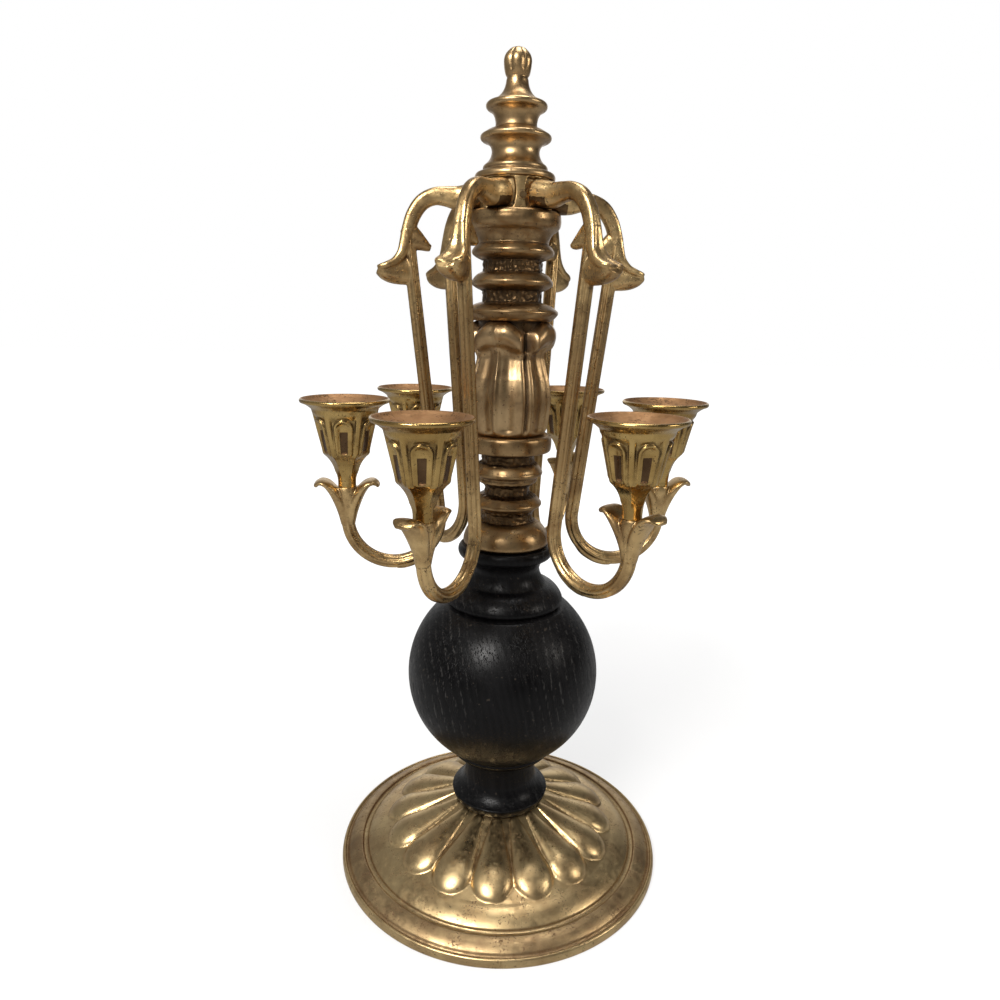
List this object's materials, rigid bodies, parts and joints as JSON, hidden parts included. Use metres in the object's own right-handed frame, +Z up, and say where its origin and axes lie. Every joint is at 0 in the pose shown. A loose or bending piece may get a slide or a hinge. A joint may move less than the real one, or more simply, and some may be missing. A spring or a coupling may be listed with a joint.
{
  "type": "tabletop candelabra",
  "caption": "Tabletop candelabra: brass scroll arms with flared candle cups on a ringed brass column, over an ebonised ball and a round lobed base.",
  "frame": {"origin": "centre of the base's foot, at table level, on the axis of the tie rod", "axes": "+Z up the column; -Y towards the viewer of the picture; +X to the viewer's right"},
  "size_m": [0.2222, 0.2058, 0.45],
  "materials": {
    "polished_brass": "worn polish with brown patina in the hollows",
    "aged_brass": "aged satin, golden brown",
    "ebonised_wood": "black satin with open grain",
    "steel": "plain"
  },
  "bodies": {
    "stand": {"base_shell": "polished_brass", "base_washer": "steel", "base_nut": "steel", "tie_rod": "steel", "wood_baluster": "ebonised_wood", "lower_column": "aged_brass", "leaf_vase": "aged_brass", "upper_column": "aged_brass"},
    "arm_cluster": {"arm_hub": "aged_brass", "arm_1": "aged_brass", "arm_2": "aged_brass", "arm_3": "aged_brass", "arm_4": "aged_brass", "arm_5": "aged_brass", "arm_6": "aged_brass", "candle_cup_1": "polished_brass", "candle_cup_2": "polished_brass", "candle_cup_3": "polished_brass", "candle_cup_4": "polished_brass", "candle_cup_5": "polished_brass", "candle_cup_6": "polished_brass", "arm_screws": "steel", "cup_screws": "steel", "hub_side_screw": "steel"},
    "finial": {"finial": "aged_brass"}
  },
  "joints": [
    {"name": "arm_cluster_turn", "type": "hinge", "parent": "stand", "child": "arm_cluster", "pos_m": [0, 0, 0.37348], "axis": [0, 0, 1], "continuous": true},
    {"name": "finial_turn", "type": "hinge", "parent": "stand", "child": "finial", "pos_m": [0, 0, 0.38848], "axis": [0, 0, 1], "continuous": true}
  ]
}
